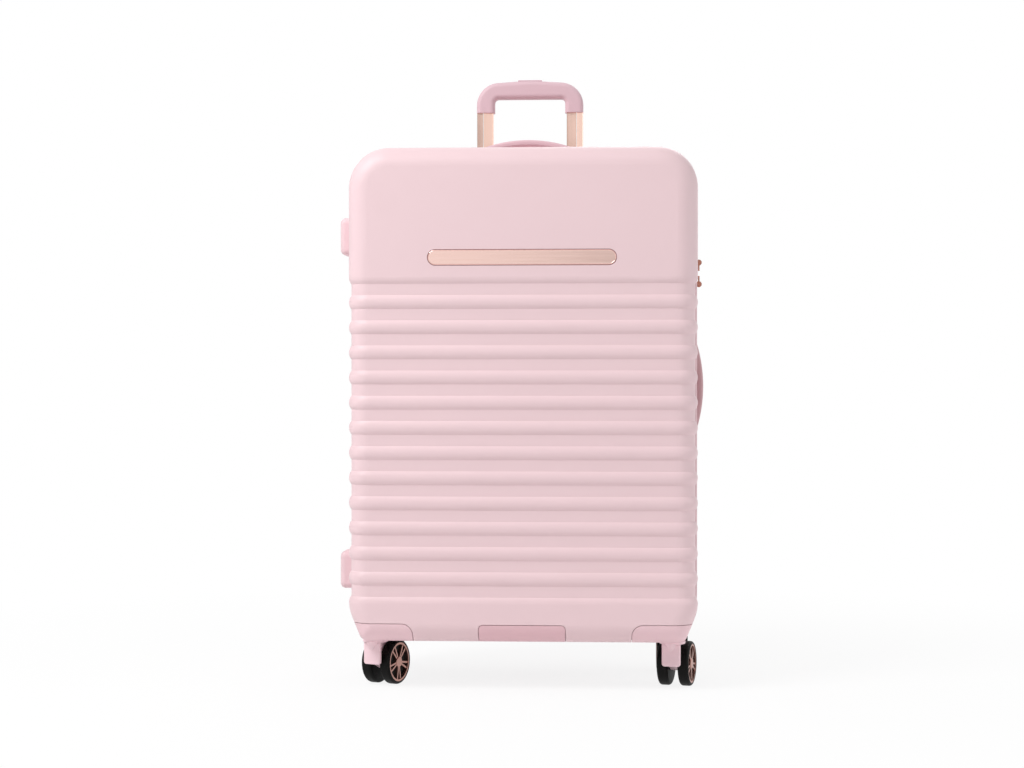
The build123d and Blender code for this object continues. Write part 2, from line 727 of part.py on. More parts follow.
def tube_bar(side, grow, low_z, high_z):
    """Solid bar with a tube's outline, for cutting its holes."""
    return extrude(Pos(0, 0, low_z) * tube_outline(side, grow), amount=high_z - low_z)


def tube_pair(grow, low_z, high_z):
    """Left and right tube of one stage."""
    return Compound(children=[tube(side, grow, low_z, high_z) for side in (-1, 1)])


STAGE_STEP = TUBE_WALL + TUBE_GAP
INNER_TUBE_TOP_Z = GRIP_BOTTOM_Z + GRIP_SOCKET
MIDDLE_TUBE_TOP_Z = BEZEL_FLOOR_Z + BEZEL_FLOOR


def trolley_bezel():
    """Cup let into the top of the rear shell, with a lip round it and a hole for each tube."""
    cup = bezel_block(0, BEZEL_FLOOR_Z, SHELL_TOP + BEZEL_LIP)
    skin = tub(-BEZEL_LIP_HEIGHT, REAR_RIM_Y, BACK_FACE_Y)
    lip = (skin - tub(0, REAR_RIM_Y, BACK_FACE_Y)) & bezel_block(
        BEZEL_LIP, BEZEL_FLOOR_Z, SHELL_TOP + BEZEL_LIP
    )
    room = bezel_block(-BEZEL_WALL, BEZEL_FLOOR_Z + BEZEL_FLOOR, SHELL_TOP + 2 * BEZEL_LIP)
    bezel = (cup & skin) + lip - room
    for side in (-1, 1):
        bezel -= tube_bar(side, STAGE_STEP + TUBE_GAP, BEZEL_FLOOR_Z - BEZEL_LIP, SHELL_TOP)
    return bezel


def trolley_bracket():
    """Foot bracket on the bottom of the rear shell, with a socket for each outer tube."""
    floor_z = SHELL_BOTTOM + SHELL_WALL
    bracket = Pos(0, TROLLEY_Y, floor_z + BRACKET_HEIGHT / 2) * Box(
        BRACKET_LENGTH, BRACKET_WIDTH, BRACKET_HEIGHT
    )
    bracket = fillet(bracket.edges().filter_by(Axis.Z), BEZEL_LIP)
    middle = Pos(0, TROLLEY_Y, floor_z + BRACKET_HEIGHT) * Box(
        2 * TUBE_X - 2 * TUBE_WIDTH, BRACKET_WIDTH, 2 * (BRACKET_HEIGHT - PANEL_WALL)
    )
    bracket = (bracket - middle) & tub(SHELL_WALL, REAR_RIM_Y, BACK_FACE_Y)
    for side in (-1, 1):
        bracket -= tube_bar(side, 2 * STAGE_STEP + PRESS, OUTER_TUBE_BOTTOM_Z, SHELL_TOP)
    for place in bracket_screw_places():
        bracket -= screw_hole(place)
    return bracket


def grip():
    """Moulded grip with a flat window, a socket for each inner tube and a pocket for the push button."""
    reach = TUBE_X + GRIP_THICKNESS / 2
    arch = FilletPolyline(
        (-reach, GRIP_BOTTOM_Z),
        (-reach, GRIP_TOP_Z - GRIP_CROWN),
        (0, GRIP_TOP_Z + GRIP_CROWN / 4),
        (reach, GRIP_TOP_Z - GRIP_CROWN),
        (reach, GRIP_BOTTOM_Z),
        radius=[GRIP_CORNER_R, GRIP_CROWN_R, GRIP_CORNER_R],
    )
    outside = make_face(arch + Line((reach, GRIP_BOTTOM_Z), (-reach, GRIP_BOTTOM_Z)))
    window = Pos(0, GRIP_WINDOW_Z - FAR / 2) * RectangleRounded(2 * GRIP_WINDOW_X, FAR, GRIP_WINDOW_R)
    body = Pos(0, TROLLEY_Y, 0) * extrude(Plane.XZ * (outside - window), amount=GRIP_DEPTH / 2, both=True)
    rims = [face for face in body.faces().filter_by(Axis.Y)]
    edges = [e for face in rims for e in face.edges() if e.center().Z > GRIP_BOTTOM_Z + PRESS]
    body = fillet(edges, GRIP_EDGE_R)
    for side in (-1, 1):
        body -= tube_bar(side, PRESS, GRIP_BOTTOM_Z - GRIP_SOCKET, INNER_TUBE_TOP_Z)
    floor_z = GRIP_TOP_Z + BUTTON_PROUD - BUTTON_HEIGHT - BUTTON_TRAVEL
    pocket = Pos(0, TROLLEY_Y, floor_z + BUTTON_HEIGHT) * Box(
        BUTTON_LENGTH + 2 * FIT, BUTTON_WIDTH + 2 * FIT, 2 * BUTTON_HEIGHT
    )
    pocket = fillet(pocket.edges().filter_by(Axis.Z), BUTTON_ROUND_R + FIT)
    return body - pocket


def grip_button():
    """Push button in the top of the grip that frees the tubes."""
    middle_z = GRIP_TOP_Z + BUTTON_PROUD - BUTTON_HEIGHT / 2
    button = Pos(0, TROLLEY_Y, middle_z) * Box(BUTTON_LENGTH, BUTTON_WIDTH, BUTTON_HEIGHT)
    button = fillet(button.edges().filter_by(Axis.Z), BUTTON_ROUND_R)
    return fillet(button.edges().group_by(Axis.Z)[-1], BUTTON_PROUD / 2)


def zip_chain(low_y, high_y):
    """One half of the zip: a band on the top, right and bottom, open down the hinge side."""
    gap = box_between((-FAR, -FAR, HINGE_BOTTOM_Z), (0, FAR, HINGE_TOP_Z))
    return band(RIB_HEIGHT, ZIP_THICKNESS, low_y, high_y) - gap


def hinge_strip():
    """Fabric hinge down the left side: a rolled seam on the hinge line, with a web to the rear shell."""
    height = HINGE_TOP_Z - HINGE_BOTTOM_Z
    middle_z = (HINGE_TOP_Z + HINGE_BOTTOM_Z) / 2
    roll = Pos(HINGE_X, ZIP_Y, middle_z) * Cylinder(HINGE_R, height)
    web_low = (HINGE_X, ZIP_Y, HINGE_BOTTOM_Z)
    web_high = (-VALLEY_X + ZIP_THICKNESS, REAR_RIM_Y, HINGE_TOP_Z)
    return roll + box_between(web_low, web_high)


def slider(place, side):
    """Zip slider on the case's side: a plate over the teeth, with an eyed bail for its puller.

    place is the middle of the slider's foot, and side is the way it faces along X."""
    plate = Pos(SLIDER_THICKNESS / 2, 0, 0) * Box(SLIDER_THICKNESS, SLIDER_WIDTH, SLIDER_LENGTH)
    plate = fillet(plate.edges().filter_by(Axis.X), SLIDER_WIDTH / 4)
    reach = SLIDER_THICKNESS + BAIL_R
    bail = Pos(reach, 0, 0) * Rot(90, 0, 0) * Cylinder(BAIL_R, BAIL_THICKNESS)
    root = Pos(reach / 2, 0, 0) * Box(reach, BAIL_THICKNESS, 1.7 * BAIL_R)
    eye = Pos(reach, 0, 0) * Rot(90, 0, 0) * Cylinder(BAIL_HOLE_R, 2 * BAIL_THICKNESS)
    made = plate + bail + root - eye
    return Pos(*place) * (made if side > 0 else mirror(made, Plane.YZ))


def bail_place(place, side):
    """Centre of a slider's eye."""
    x, y, z = place
    return Pos(x + side * (SLIDER_THICKNESS + BAIL_R), y, z)


def puller(place, side, way, length):
    """Puller hung in a slider's eye: a pin, two cheeks beside the bail, and a tab that points up or down."""
    pin_length = BAIL_THICKNESS + 2 * (FIT + PULLER_CHEEK)
    pin = Rot(90, 0, 0) * Cylinder(BAIL_HOLE_R - RUNNING, pin_length)
    body = pin
    cheek_reach = BAIL_R + FIT + PULLER_CHEEK
    for face in (-1, 1):
        cheek_y = face * (pin_length - PULLER_CHEEK) / 2
        eye = Pos(0, cheek_y, 0) * Rot(90, 0, 0) * Cylinder(BAIL_HOLE_R + PULLER_CHEEK / 2, PULLER_CHEEK)
        arm = Pos(0, cheek_y, way * cheek_reach / 2) * Box(PULLER_THICKNESS, PULLER_CHEEK, cheek_reach)
        body = body + eye + arm
    tab_low = BAIL_R + FIT
    tab = Pos(0, 0, way * (tab_low + length) / 2) * Box(PULLER_THICKNESS, PULLER_WIDTH, length - tab_low)
    tip = tab.edges().filter_by(Axis.X).group_by(Axis.Z)[-1 if way > 0 else 0]
    tab = fillet(tip, PULLER_WIDTH / 3)
    return bail_place(place, side) * (body + tab)


def slider_places():
    """Foot of each slider: the two on the main zip, and the one on the gusset's zip."""
    chain_x = VALLEY_X + FIT
    gusset_x = -(HALF_WIDTH - GUSSET_INSET + FIT)
    return {
        "upper": (chain_x, ZIP_Y, UPPER_SLIDER_Z),
        "lower": (chain_x, ZIP_Y, LOWER_SLIDER_Z),
        "gusset": (gusset_x, GUSSET_SLIDER_Y, GUSSET_SLIDER_Z),
    }


def castor_place(side, end, yaw):
    """Swivel axis of a castor on the floor, turned so that its wheels trail behind it."""
    return Pos(*stem_place(side, end), 0) * Rot(0, 0, -yaw)


def castor_fork():
    """Fork about the swivel axis: stem, disc, web between the wheels, fender and the cone under the disc."""
    disc_low = SWIVEL_Z - SWIVEL_DISC_HEIGHT
    disc = Pos(0, 0, SWIVEL_Z - SWIVEL_DISC_HEIGHT / 2) * Cylinder(SWIVEL_DISC_R, SWIVEL_DISC_HEIGHT)
    disc = fillet(disc.edges().group_by(Axis.Z)[0], SWIVEL_DISC_HEIGHT / 3)
    stem_top = SHELL_BOTTOM + BOSS_HEIGHT + FIT
    stem = Pos(0, 0, (disc_low + stem_top) / 2) * Cylinder(STEM_R, stem_top - disc_low)
    rivet = Pos(0, 0, stem_top + RIVET_HEIGHT / 2) * Cylinder(RIVET_R, RIVET_HEIGHT)
    back = CASTOR_TRAIL + 3.6 * AXLE_R
    web_points = [
        (-FENDER_FRONT + FENDER_THICKNESS / 2, disc_low),
        (SWIVEL_DISC_R - 2, disc_low),
        (back - 3, WHEEL_R + 4 * AXLE_R),
        (back, WHEEL_R),
        (CASTOR_TRAIL + AXLE_R, WHEEL_R - 3.6 * AXLE_R),
        (CASTOR_TRAIL - 3.6 * AXLE_R, WHEEL_R - 3.6 * AXLE_R),
        (-FENDER_FRONT + FENDER_THICKNESS / 2, disc_low - FENDER_HEIGHT + FENDER_THICKNESS),
    ]
    web_face = Plane.YZ * make_face(Polyline(*web_points, close=True))
    web = extrude(web_face, amount=WEB_WIDTH / 2, both=True)
    fender = Pos(0, FENDER_THICKNESS / 2 - FENDER_FRONT, disc_low - FENDER_HEIGHT / 2) * Box(
        FENDER_WIDTH, FENDER_THICKNESS, FENDER_HEIGHT
    )
    fender = fillet(fender.edges().filter_by(Axis.Y).group_by(Axis.Z)[0], 2 * FENDER_EDGE_R)
    fender = fillet(fender.faces().sort_by(Axis.Y)[0].edges(), FENDER_EDGE_R)
    cone = Pos(0, FENDER_THICKNESS - FENDER_FRONT, disc_low - STEM_CONE_HEIGHT / 2) * Cone(
        FENDER_EDGE_R, STEM_CONE_R, STEM_CONE_HEIGHT
    )
    hole = Pos(0, CASTOR_TRAIL, WHEEL_R) * Rot(0, 90, 0) * Cylinder(AXLE_R + PRESS, 2 * WEB_WIDTH)
    return disc + stem + rivet + web + fender + cone - hole


def axle():
    """Steel axle through the fork's web, which reaches into both wheels."""
    length = 2 * (WHEEL_X + WHEEL_WIDTH - CAP_POCKET_DEPTH) - 2 * WHEEL_SIDE_GAP
    pin = Pos(0, CASTOR_TRAIL, WHEEL_R) * Rot(0, 90, 0) * Cylinder(AXLE_R, length)
    return chamfer(pin.edges(), AXLE_R / 8)


def wheel(side):
    """Black wheel with a rounded tread, a bore for the axle and a pocket for its hub cap."""
    body = Pos(WHEEL_X + WHEEL_WIDTH / 2, 0, 0) * Rot(0, 90, 0) * Cylinder(WHEEL_R, WHEEL_WIDTH)
    body = fillet(body.edges(), WHEEL_EDGE_R - FIT)
    bore = Pos(WHEEL_X, 0, 0) * Rot(0, 90, 0) * Cylinder(AXLE_R + RUNNING, 4 * WHEEL_WIDTH)
    pocket_x = WHEEL_X + WHEEL_WIDTH
    pocket = Pos(pocket_x, 0, 0) * Rot(0, 90, 0) * Cylinder(CAP_RING_R + FIT, 2 * CAP_POCKET_DEPTH)
    made = body - bore - pocket
    return Pos(0, CASTOR_TRAIL, WHEEL_R) * (made if side > 0 else mirror(made, Plane.YZ))


def hub_cap(side):
    """Spoked cap in the wheel's pocket: a ring, a hub and paired spokes."""
    low_x = WHEEL_X + WHEEL_WIDTH - CAP_POCKET_DEPTH
    turned = Pos(low_x, 0, 0) * Rot(0, 90, 0)
    up = Align.CENTER, Align.CENTER, Align.MIN
    ring = Cylinder(CAP_RING_R, CAP_DEPTH, align=up) - Cylinder(CAP_RING_R - CAP_RING_WIDTH, 3 * CAP_DEPTH)
    hub = Cylinder(CAP_HUB_R, CAP_DEPTH, align=up)
    hub = fillet(hub.edges().group_by(Axis.Z)[-1], CAP_DEPTH / 4)
    cap = ring + hub
    spoke_length = CAP_RING_R - CAP_RING_WIDTH / 2
    spoke = Pos(spoke_length / 2, 0, 0) * Box(
        spoke_length, CAP_SPOKE_WIDTH, CAP_DEPTH - CAP_SPOKE_DROP, align=up
    )
    for pair in range(CAP_SPOKE_PAIRS):
        for lean in (-CAP_SPOKE_SPREAD, CAP_SPOKE_SPREAD):
            cap += Rot(0, 0, 360 * pair / CAP_SPOKE_PAIRS + lean) * spoke
    made = turned * cap
    return Pos(0, CASTOR_TRAIL, WHEEL_R) * (made if side > 0 else mirror(made, Plane.YZ))


def group(pieces):
    """Several separate solids that share one node."""
    return Compound(children=list(pieces))


def front_screws():
    """Screws of the front corner housings and the grip plate."""
    places = [p for side in (-1, 1) for p in corner_screw_places(side, -1)] + grip_plate_screw_places()
    return group(screw(place, PANEL_FLOOR_Z) for place in places)


def rear_screws():
    """Screws of the rear corner housings and the pull handle's bracket."""
    corners = [screw(p, PANEL_FLOOR_Z) for side in (-1, 1) for p in corner_screw_places(side, 1)]
    bracket_z = SHELL_BOTTOM + SHELL_WALL + PANEL_WALL
    return group(corners + [screw(place, bracket_z) for place in bracket_screw_places()])


def castor_nodes(name, side, end, yaw):
    """Pieces of one castor, each in its place under the case."""
    place = castor_place(side, end, yaw)
    nodes = {f"{name}_fork": place * castor_fork(), f"{name}_axle": place * axle()}
    for half, way in (("left", -1), ("right", 1)):
        nodes[f"{name}_{half}_wheel"] = place * wheel(way)
        nodes[f"{name}_{half}_hub_cap"] = place * hub_cap(way)
    return nodes


def suitcase():
    """Every node of the suitcase by name."""
    places = slider_places()
    sockets = [
        place * handle_socket(side, seat, reach) for place, seat, reach in handle_seats() for side in (-1, 1)
    ]
    nodes = {
        "front_shell": front_shell(),
        "front_lining": front_lining(),
        "front_corner_housings": group(corner_housing(side, -1) for side in (-1, 1)),
        "front_screws": front_screws(),
        "bottom_grip_plate": grip_plate(),
        "name_plate": name_plate(),
        "expansion_gusset": band(GUSSET_INSET, GUSSET_THICKNESS, FRONT_RIM_Y, GUSSET_REAR_Y),
        "front_zip_chain": zip_chain(GUSSET_REAR_Y, ZIP_Y - ZIP_GAP / 2),
        "rear_zip_chain": zip_chain(ZIP_Y + ZIP_GAP / 2, REAR_RIM_Y),
        "hinge_strip": hinge_strip(),
        "rear_shell": rear_shell(),
        "rear_lining": rear_lining(),
        "rear_corner_housings": group(corner_housing(side, 1) for side in (-1, 1)),
        "rear_screws": rear_screws(),
        "side_feet": group([side_foot(UPPER_FOOT_Z, HALF_WIDTH), side_foot(LOWER_FOOT_Z, VALLEY_X)]),
        "handle_sockets": group(sockets),
        "top_handle": top_handle_place() * carry_handle(TOP_HANDLE_RISE, TOP_HANDLE_REACH),
        "side_handle": side_handle_place() * carry_handle(SIDE_HANDLE_RISE, SIDE_HANDLE_REACH),
        "lock_case": lock_case(),
        "lock_button": lock_button(),
        "trolley_bezel": trolley_bezel(),
        "trolley_bracket": trolley_bracket(),
        "outer_tubes": tube_pair(2 * STAGE_STEP, OUTER_TUBE_BOTTOM_Z, BEZEL_FLOOR_Z),
        "middle_tubes": tube_pair(STAGE_STEP, MIDDLE_TUBE_TOP_Z - MIDDLE_TUBE_LENGTH, MIDDLE_TUBE_TOP_Z),
        "inner_tubes": tube_pair(0, INNER_TUBE_TOP_Z - INNER_TUBE_LENGTH, INNER_TUBE_TOP_Z),
        "grip": grip(),
        "grip_button": grip_button(),
        "upper_zip_slider": slider(places["upper"], 1),
        "upper_zip_puller": puller(places["upper"], 1, -1, LOCKED_PULLER_LENGTH),
        "lower_zip_slider": slider(places["lower"], 1),
        "lower_zip_puller": puller(places["lower"], 1, 1, LOCKED_PULLER_LENGTH),
        "gusset_zip_slider": slider(places["gusset"], -1),
        "gusset_zip_puller": puller(places["gusset"], -1, -1, FREE_PULLER_LENGTH),
    }
    for i, place in enumerate(dial_places()):
        nodes[f"lock_dial_{i + 1}"] = Pos(*place) * dial()
    nodes |= castor_nodes("front_left", -1, -1, FRONT_LEFT_YAW)
    nodes |= castor_nodes("front_right", 1, -1, FRONT_RIGHT_YAW)
    nodes |= castor_nodes("rear_left", -1, 1, REAR_LEFT_YAW)
    nodes |= castor_nodes("rear_right", 1, 1, REAR_RIGHT_YAW)
    return nodes


os.makedirs("parts", exist_ok=True)
for node, shape in suitcase().items():
    export_step(shape, f"parts/{node}.step")
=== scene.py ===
import math

import bmesh
import bpy
from mathutils import Matrix, Vector


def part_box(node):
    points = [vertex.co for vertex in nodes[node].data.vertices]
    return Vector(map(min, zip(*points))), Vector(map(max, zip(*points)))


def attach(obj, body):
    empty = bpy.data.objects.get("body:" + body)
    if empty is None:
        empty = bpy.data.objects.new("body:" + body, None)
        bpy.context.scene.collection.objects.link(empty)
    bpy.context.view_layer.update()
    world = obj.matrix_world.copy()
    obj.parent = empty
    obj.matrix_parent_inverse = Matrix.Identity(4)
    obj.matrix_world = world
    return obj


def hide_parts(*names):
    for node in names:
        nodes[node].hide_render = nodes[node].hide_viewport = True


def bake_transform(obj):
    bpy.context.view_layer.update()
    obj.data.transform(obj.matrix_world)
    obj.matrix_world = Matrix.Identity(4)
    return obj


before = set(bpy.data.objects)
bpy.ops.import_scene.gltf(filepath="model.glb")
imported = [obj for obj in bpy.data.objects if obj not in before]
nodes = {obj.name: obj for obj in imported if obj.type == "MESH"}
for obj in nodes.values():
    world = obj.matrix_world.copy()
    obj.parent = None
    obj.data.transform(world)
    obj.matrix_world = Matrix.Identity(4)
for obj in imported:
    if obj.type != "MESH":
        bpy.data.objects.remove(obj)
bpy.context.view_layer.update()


# The studio: a white sheet under the case and behind it, one large soft lamp from the upper left,
# weaker ones from the right and from behind, and the camera at about the height of the case's middle.

scene = bpy.context.scene
scene.view_settings.view_transform = "Standard"


class Wire:
    """One output of a shader node. Arithmetic on it adds Math nodes, and node() adds any other node."""

    def __init__(self, tree, socket=None):
        self.tree = tree
        self.socket = socket

    def node(self, kind, settings, inputs, output=0):
        made = self.tree.nodes.new("ShaderNode" + kind)
        for name, value in settings.items():
            setattr(made, name, value)
        for name, value in inputs.items():
            self.feed(made.inputs[name], value)
        return Wire(self.tree, made.outputs[output])

    def feed(self, socket, value):
        if isinstance(value, Wire):
            self.tree.links.new(value.socket, socket)
        else:
            socket.default_value = value

    def math(self, operation, first, second=0.0):
        return self.node("Math", {"operation": operation}, {0: first, 1: second})

    def __add__(self, other):
        return self.math("ADD", self, other)

    def __sub__(self, other):
        return self.math("SUBTRACT", self, other)

    def __rsub__(self, other):
        return self.math("SUBTRACT", other, self)

    def __mul__(self, other):
        return self.math("MULTIPLY", self, other)

    __rmul__ = __mul__


def seen_directly(tree):
    """1 where a camera, mirror or glass ray arrives, and 0 for the rays that carry light."""
    wire = Wire(tree)
    camera, glossy, through = (wire.node("LightPath", {}, {}, output) for output in (0, 3, 6))
    return wire.math("MAXIMUM", wire.math("MAXIMUM", camera, glossy), through)


FLOOR_REACH = 30.0
FLOOR_COLOUR = (0.93, 0.93, 0.93, 1.0)
FLOOR_SHADOW = 0.16
SHADOW_REACH = 1.3

floor_mesh = bpy.data.meshes.new("floor")
floor_corners = [(x * FLOOR_REACH, y * FLOOR_REACH, 0) for x, y in ((-1, -1), (1, -1), (1, 1), (-1, 1))]
floor_mesh.from_pydata(floor_corners, [], [(0, 1, 2, 3)])
floor = bpy.data.objects.new("floor", floor_mesh)
scene.collection.objects.link(floor)
floor_paper = bpy.data.materials.new("floor_paper")
floor_paper.use_nodes = True
floor_tree = floor_paper.node_tree
floor_shader = floor_tree.nodes["Principled BSDF"]
floor_shader.inputs["Base Color"].default_value = FLOOR_COLOUR
floor_shader.inputs["Roughness"].default_value = 0.9
floor_shader.inputs["Specular IOR Level"].default_value = 0.0
white = Wire(floor_tree).node("Emission", {}, {"Color": (1, 1, 1, 1), "Strength": 1.0})
lit = Wire(floor_tree, floor_shader.outputs[0])
spot = Wire(floor_tree).node("TexCoord", {}, {}, 3)
far_away = spot.node("VectorMath", {"operation": "LENGTH"}, {0: spot}, 1) * (1 / SHADOW_REACH)
shadow_share = FLOOR_SHADOW * spot.math("MAXIMUM", 1.0 - far_away, 0.0)
white_share = seen_directly(floor_tree) * (1.0 - shadow_share)
sheet_white = lit.node("MixShader", {}, {0: white_share, 1: lit, 2: white})
floor_tree.links.new(sheet_white.socket, floor_tree.nodes["Material Output"].inputs["Surface"])
floor_mesh.materials.append(floor_paper)

# In reflections the room is darker far to the left, and a screen stands in front, a little to the right.
# Each edge is a pair of directions, as shares of a unit vector, between which the room fades.
ROOM_LIGHT = 0.42
LEFT_WALL_DIM, LEFT_WALL_EDGE = 0.5, (-0.55, -0.3)
FRONT_SCREEN_DIM = 0.62
SCREEN_LEFT_EDGE, SCREEN_RIGHT_EDGE, SCREEN_FRONT_EDGE = (-0.06, 0.05), (0.12, 0.3), (-0.9, -0.6)

room = bpy.data.worlds.new("room")
scene.world = room
room.use_nodes = True
room_tree = room.node_tree
background = room_tree.nodes["Background"]
background.inputs["Color"].default_value = (1, 1, 1, 1)
direct = seen_directly(room_tree)
mirrored = Wire(room_tree).node("LightPath", {}, {}, 3)
way = Wire(room_tree).node("TexCoord", {}, {})
to_right, to_back = (way.node("SeparateXYZ", {}, {0: way}, axis) for axis in (0, 1))


def fade(direction, edge, low_value, high_value):
    """Value that goes from low_value to high_value as a direction crosses an edge of the room."""
    limits = {0: direction, 1: edge[0], 2: edge[1], 3: low_value, 4: high_value}
    return direction.node("MapRange", {}, limits)


left_wall = fade(to_right, LEFT_WALL_EDGE, LEFT_WALL_DIM, 0.0)
screen_start = fade(to_right, SCREEN_LEFT_EDGE, 0.0, FRONT_SCREEN_DIM)
screen_end = fade(to_right, SCREEN_RIGHT_EDGE, 1.0, 0.0)
in_front = fade(to_back, SCREEN_FRONT_EDGE, 1.0, 0.0)
dark_parts = (left_wall + screen_start * screen_end * in_front) * mirrored
room_glow = (direct * (1 - ROOM_LIGHT) + ROOM_LIGHT) - dark_parts
room_tree.links.new(room_glow.socket, background.inputs["Strength"])

CASE_MIDDLE = Vector((0.0, 0.0, 0.42))
LAMPS = {
    "key_lamp": ((-1.5, -1.4, 2.4), 1.2, 56.0),
    "fill_lamp": ((2.3, -0.35, 0.9), 1.4, 10.0),
    "rim_lamp": ((0.6, 2.2, 2.2), 1.4, 14.0),
}
for lamp_name, (place, size, power) in LAMPS.items():
    lamp_data = bpy.data.lights.new(lamp_name, "AREA")
    lamp_data.size = size
    lamp_data.energy = power
    lamp = bpy.data.objects.new(lamp_name, lamp_data)
    lamp.location = place
    lamp.rotation_euler = (CASE_MIDDLE - Vector(place)).to_track_quat("-Z", "Y").to_euler()
    scene.collection.objects.link(lamp)

CAMERA_PLACE = (0.127, -2.79, 0.42)
CAMERA_TURN_DEG = 3.04
CAMERA_LENS_MM = 68.3

camera_data = bpy.data.cameras.new("camera")
camera_data.lens = CAMERA_LENS_MM
camera_data.sensor_width = 36.0
camera = bpy.data.objects.new("camera", camera_data)
camera.location = CAMERA_PLACE
camera.rotation_euler = (math.radians(90.0), 0.0, math.radians(CAMERA_TURN_DEG))
scene.collection.objects.link(camera)
scene.camera = camera


# The two shells: thin moulded plastic in pale pink, satin and very finely grained, with the ribs
# pressed in as the sheet was formed. The front one is plain above the ribs.


def paint(red, green, blue):
    """Colour as seen on a screen, 0 to 255, as the linear colour that a shader takes."""

    def linear(value):
        value /= 255.0
        return value / 12.92 if value <= 0.04045 else ((value + 0.055) / 1.055) ** 2.4

    return (linear(red), linear(green), linear(blue), 1.0)


def shade(colour, factor):
    """The same colour, lighter or darker."""
    return tuple(min(1.0, channel * factor) for channel in colour[:3]) + (1.0,)


def blank_finish(name):
    """New material, its shader, and a wire that carries the place on the piece, in metres."""
    material = bpy.data.materials.new(name)
    material.use_nodes = True
    tree = material.node_tree
    return material, tree.nodes["Principled BSDF"], Wire(tree).node("TexCoord", {}, {}, 3)


def cloudiness(place, scale, detail=2.0):
    """Soft noise from 0 to 1."""
    return place.node("TexNoise", {}, {"Vector": place, "Scale": scale, "Detail": detail})


def between(mask, low, high):
    """Colour that goes from low to high as the mask goes from 0 to 1."""
    return mask.node("Mix", {"data_type": "RGBA"}, {0: mask, 6: low, 7: high}, 2)


def relief(height, depth, strength=1.0):
    """Surface normal of a height from 0 to 1, whose full height is depth metres."""
    return height.node("Bump", {}, {"Strength": strength, "Distance": depth, "Height": height})


def moulded_plastic(name, colour, roughness, grain_depth=0.00006):
    """Satin moulded plastic: an even colour that drifts a little, fine grain, and a few duller patches."""
    material, shader, place = blank_finish(name)
    drift = cloudiness(place, 5.0, 3.0)
    grain = cloudiness(place, 1400.0, 1.0)
    handling = cloudiness(place, 38.0, 4.0)
    place.feed(shader.inputs["Base Color"], between(drift, shade(colour, 0.975), shade(colour, 1.025)))
    place.feed(shader.inputs["Roughness"], handling * 0.12 + (roughness - 0.06))
    place.feed(shader.inputs["Normal"], relief(grain, grain_depth, 0.35))
    shader.inputs["Specular IOR Level"].default_value = PLASTIC_SHINE
    return material


def dress(material, *names):
    """Gives CAD nodes their material."""
    for name in names:
        slots = nodes[name].data.materials
        slots.clear()
        slots.append(material)


PLASTIC_SHINE = 0.32
SHELL_PINK = paint(236, 208, 212)
shell_plastic = moulded_plastic("shell_plastic", SHELL_PINK, 0.42)
dress(shell_plastic, "front_shell", "rear_shell")


# Cloth linings: thin woven polyester that is glued to the rim and hangs a little slack inside each
# shell. It drapes over the castor housings, the handle sockets, the lock and the pull handle's tubes.

MM = 0.001
CASE_CORNERS = [
    (240.0, 110.0, 60.0),
    (240.0, 745.5, 56.0),
    (-240.0, 745.5, 56.0),
    (-240.0, 110.0, 60.0),
    (-222.0, 66.0, 12.0),
    (222.0, 66.0, 12.0),
]


def case_outline(inset, step):
    """Points round the front outline of the case, drawn in by inset and about step apart, in millimetres.

    Each point comes with the outward direction there: (x, z, out_x, out_z). The same step gives the same
    number of points at every inset, so that rings at different insets match."""
    bends = []
    count = len(CASE_CORNERS)
    for i, (x, z, radius) in enumerate(CASE_CORNERS):
        before, after = CASE_CORNERS[i - 1], CASE_CORNERS[(i + 1) % count]
        arrive = Vector((x - before[0], z - before[1])).normalized()
        leave = Vector((after[0] - x, after[1] - z)).normalized()
        in_a, in_b = Vector((-arrive.y, arrive.x)), Vector((-leave.y, leave.x))
        corner = Vector((x, z)) + (in_a + in_b) * (inset / (1 + in_a.dot(in_b)))
        bend_r = max(radius - inset, 1.0)
        turn = arrive.angle(leave)
        start = corner - arrive * bend_r * math.tan(turn / 2)
        run = Vector((after[0] - x, after[1] - z)).length
        steps = max(3, math.ceil(radius * turn / step)), max(1, math.ceil(0.9 * run / step))
        bends.append((start + in_a * bend_r, bend_r, math.atan2(-in_a.y, -in_a.x), turn, steps))
    points = []
    for i, (centre, bend_r, first, turn, (bend_steps, run_steps)) in enumerate(bends):
        for k in range(bend_steps + 1):
            angle = first + turn * k / bend_steps
            out = Vector((math.cos(angle), math.sin(angle)))
            points.append((*(centre + out * bend_r), *out))
        next_centre, next_r, next_first, _, _ = bends[(i + 1) % count]
        out = Vector((math.cos(next_first), math.sin(next_first)))
        run_start, run_end = Vector(points[-1][:2]), next_centre + out * next_r
        for k in range(1, run_steps):
            points.append((*run_start.lerp(run_end, k / run_steps), *out))
    return points


def new_piece(name, points, faces, material, smooth=True):
    """Object made from points in millimetres."""
    mesh = bpy.data.meshes.new(name)
    mesh.from_pydata([Vector(p) * MM for p in points], [], faces)
    mesh.validate()
    mesh.materials.append(material)
    mesh.polygons.foreach_set("use_smooth", [smooth] * len(mesh.polygons))
    made = bpy.data.objects.new(name, mesh)
    scene.collection.objects.link(made)
    return made


